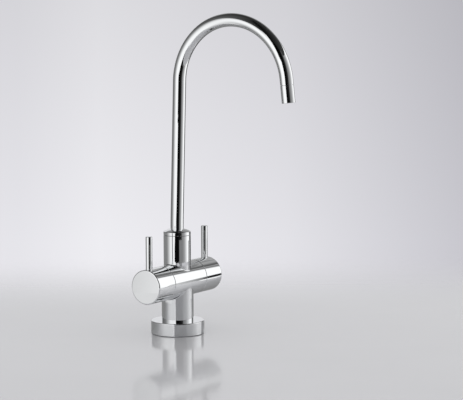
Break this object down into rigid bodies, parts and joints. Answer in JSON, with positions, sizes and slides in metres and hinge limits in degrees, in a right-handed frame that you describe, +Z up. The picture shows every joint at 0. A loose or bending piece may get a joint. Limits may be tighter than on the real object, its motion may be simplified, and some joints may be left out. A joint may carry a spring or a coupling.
{
  "type": "drinking water tap",
  "caption": "Chrome drinking water tap: a column on a round base, a cross barrel with turning lever ends, and a swivelling gooseneck spout.",
  "frame": {"origin": "on the worktop's surface, on the axis of the column, at the middle of the base seal's underside", "axes": "+Z up along the column; X along the cross barrel, with the right-hand cap at +X; the spout's outlet points to -Y, towards the user"},
  "size_m": [0.1062, 0.1606, 0.3926],
  "materials": {
    "chrome": "mirror polished chrome plate",
    "brass": "turned brass",
    "steel": "zinc plated or stainless",
    "black_rubber": "moulded rubber",
    "white_plastic": "moulded acetal",
    "ceramic": "lapped alumina"
  },
  "bodies": {
    "body": {"valve_body": "chrome", "base_flange": "chrome", "base_seal": "black_rubber", "fixing_stud": "steel", "rubber_horseshoe": "black_rubber", "steel_horseshoe": "steel", "stud_nut": "brass", "spout_bush": "white_plastic", "spout_clip": "steel", "left_seat_seal": "black_rubber", "left_fixed_disc": "ceramic", "left_cartridge_body": "brass", "left_cartridge_nut": "brass", "right_seat_seal": "black_rubber", "right_fixed_disc": "ceramic", "right_cartridge_body": "brass", "right_cartridge_nut": "brass"},
    "spout": {"spout_tube": "chrome", "spout_foot": "brass", "spout_seals": "black_rubber", "spout_collar": "chrome", "outlet_sleeve": "chrome", "outlet_insert": "white_plastic", "outlet_washer": "black_rubber"},
    "left_handle": {"left_handle_cap": "chrome", "left_lever_rod": "chrome", "left_handle_grub_screw": "steel", "left_spindle": "brass", "left_moving_disc": "ceramic", "left_stem_seals": "black_rubber", "left_spindle_clip": "steel"},
    "right_handle": {"right_handle_cap": "chrome", "right_lever_rod": "chrome", "right_handle_grub_screw": "steel", "right_spindle": "brass", "right_moving_disc": "ceramic", "right_stem_seals": "black_rubber", "right_spindle_clip": "steel"}
  },
  "joints": [
    {"name": "spout_swivel", "type": "hinge", "parent": "body", "child": "spout", "pos_m": [0, 0, 0.0967], "axis": [0, 0, 1], "continuous": true},
    {"name": "left_handle_turn", "type": "hinge", "parent": "body", "child": "left_handle", "pos_m": [-0.0265, 0, 0.052], "axis": [1, 0, 0], "range_deg": [0, 90]},
    {"name": "right_handle_turn", "type": "hinge", "parent": "body", "child": "right_handle", "pos_m": [0.0265, 0, 0.052], "axis": [1, 0, 0], "range_deg": [0, 90]}
  ]
}
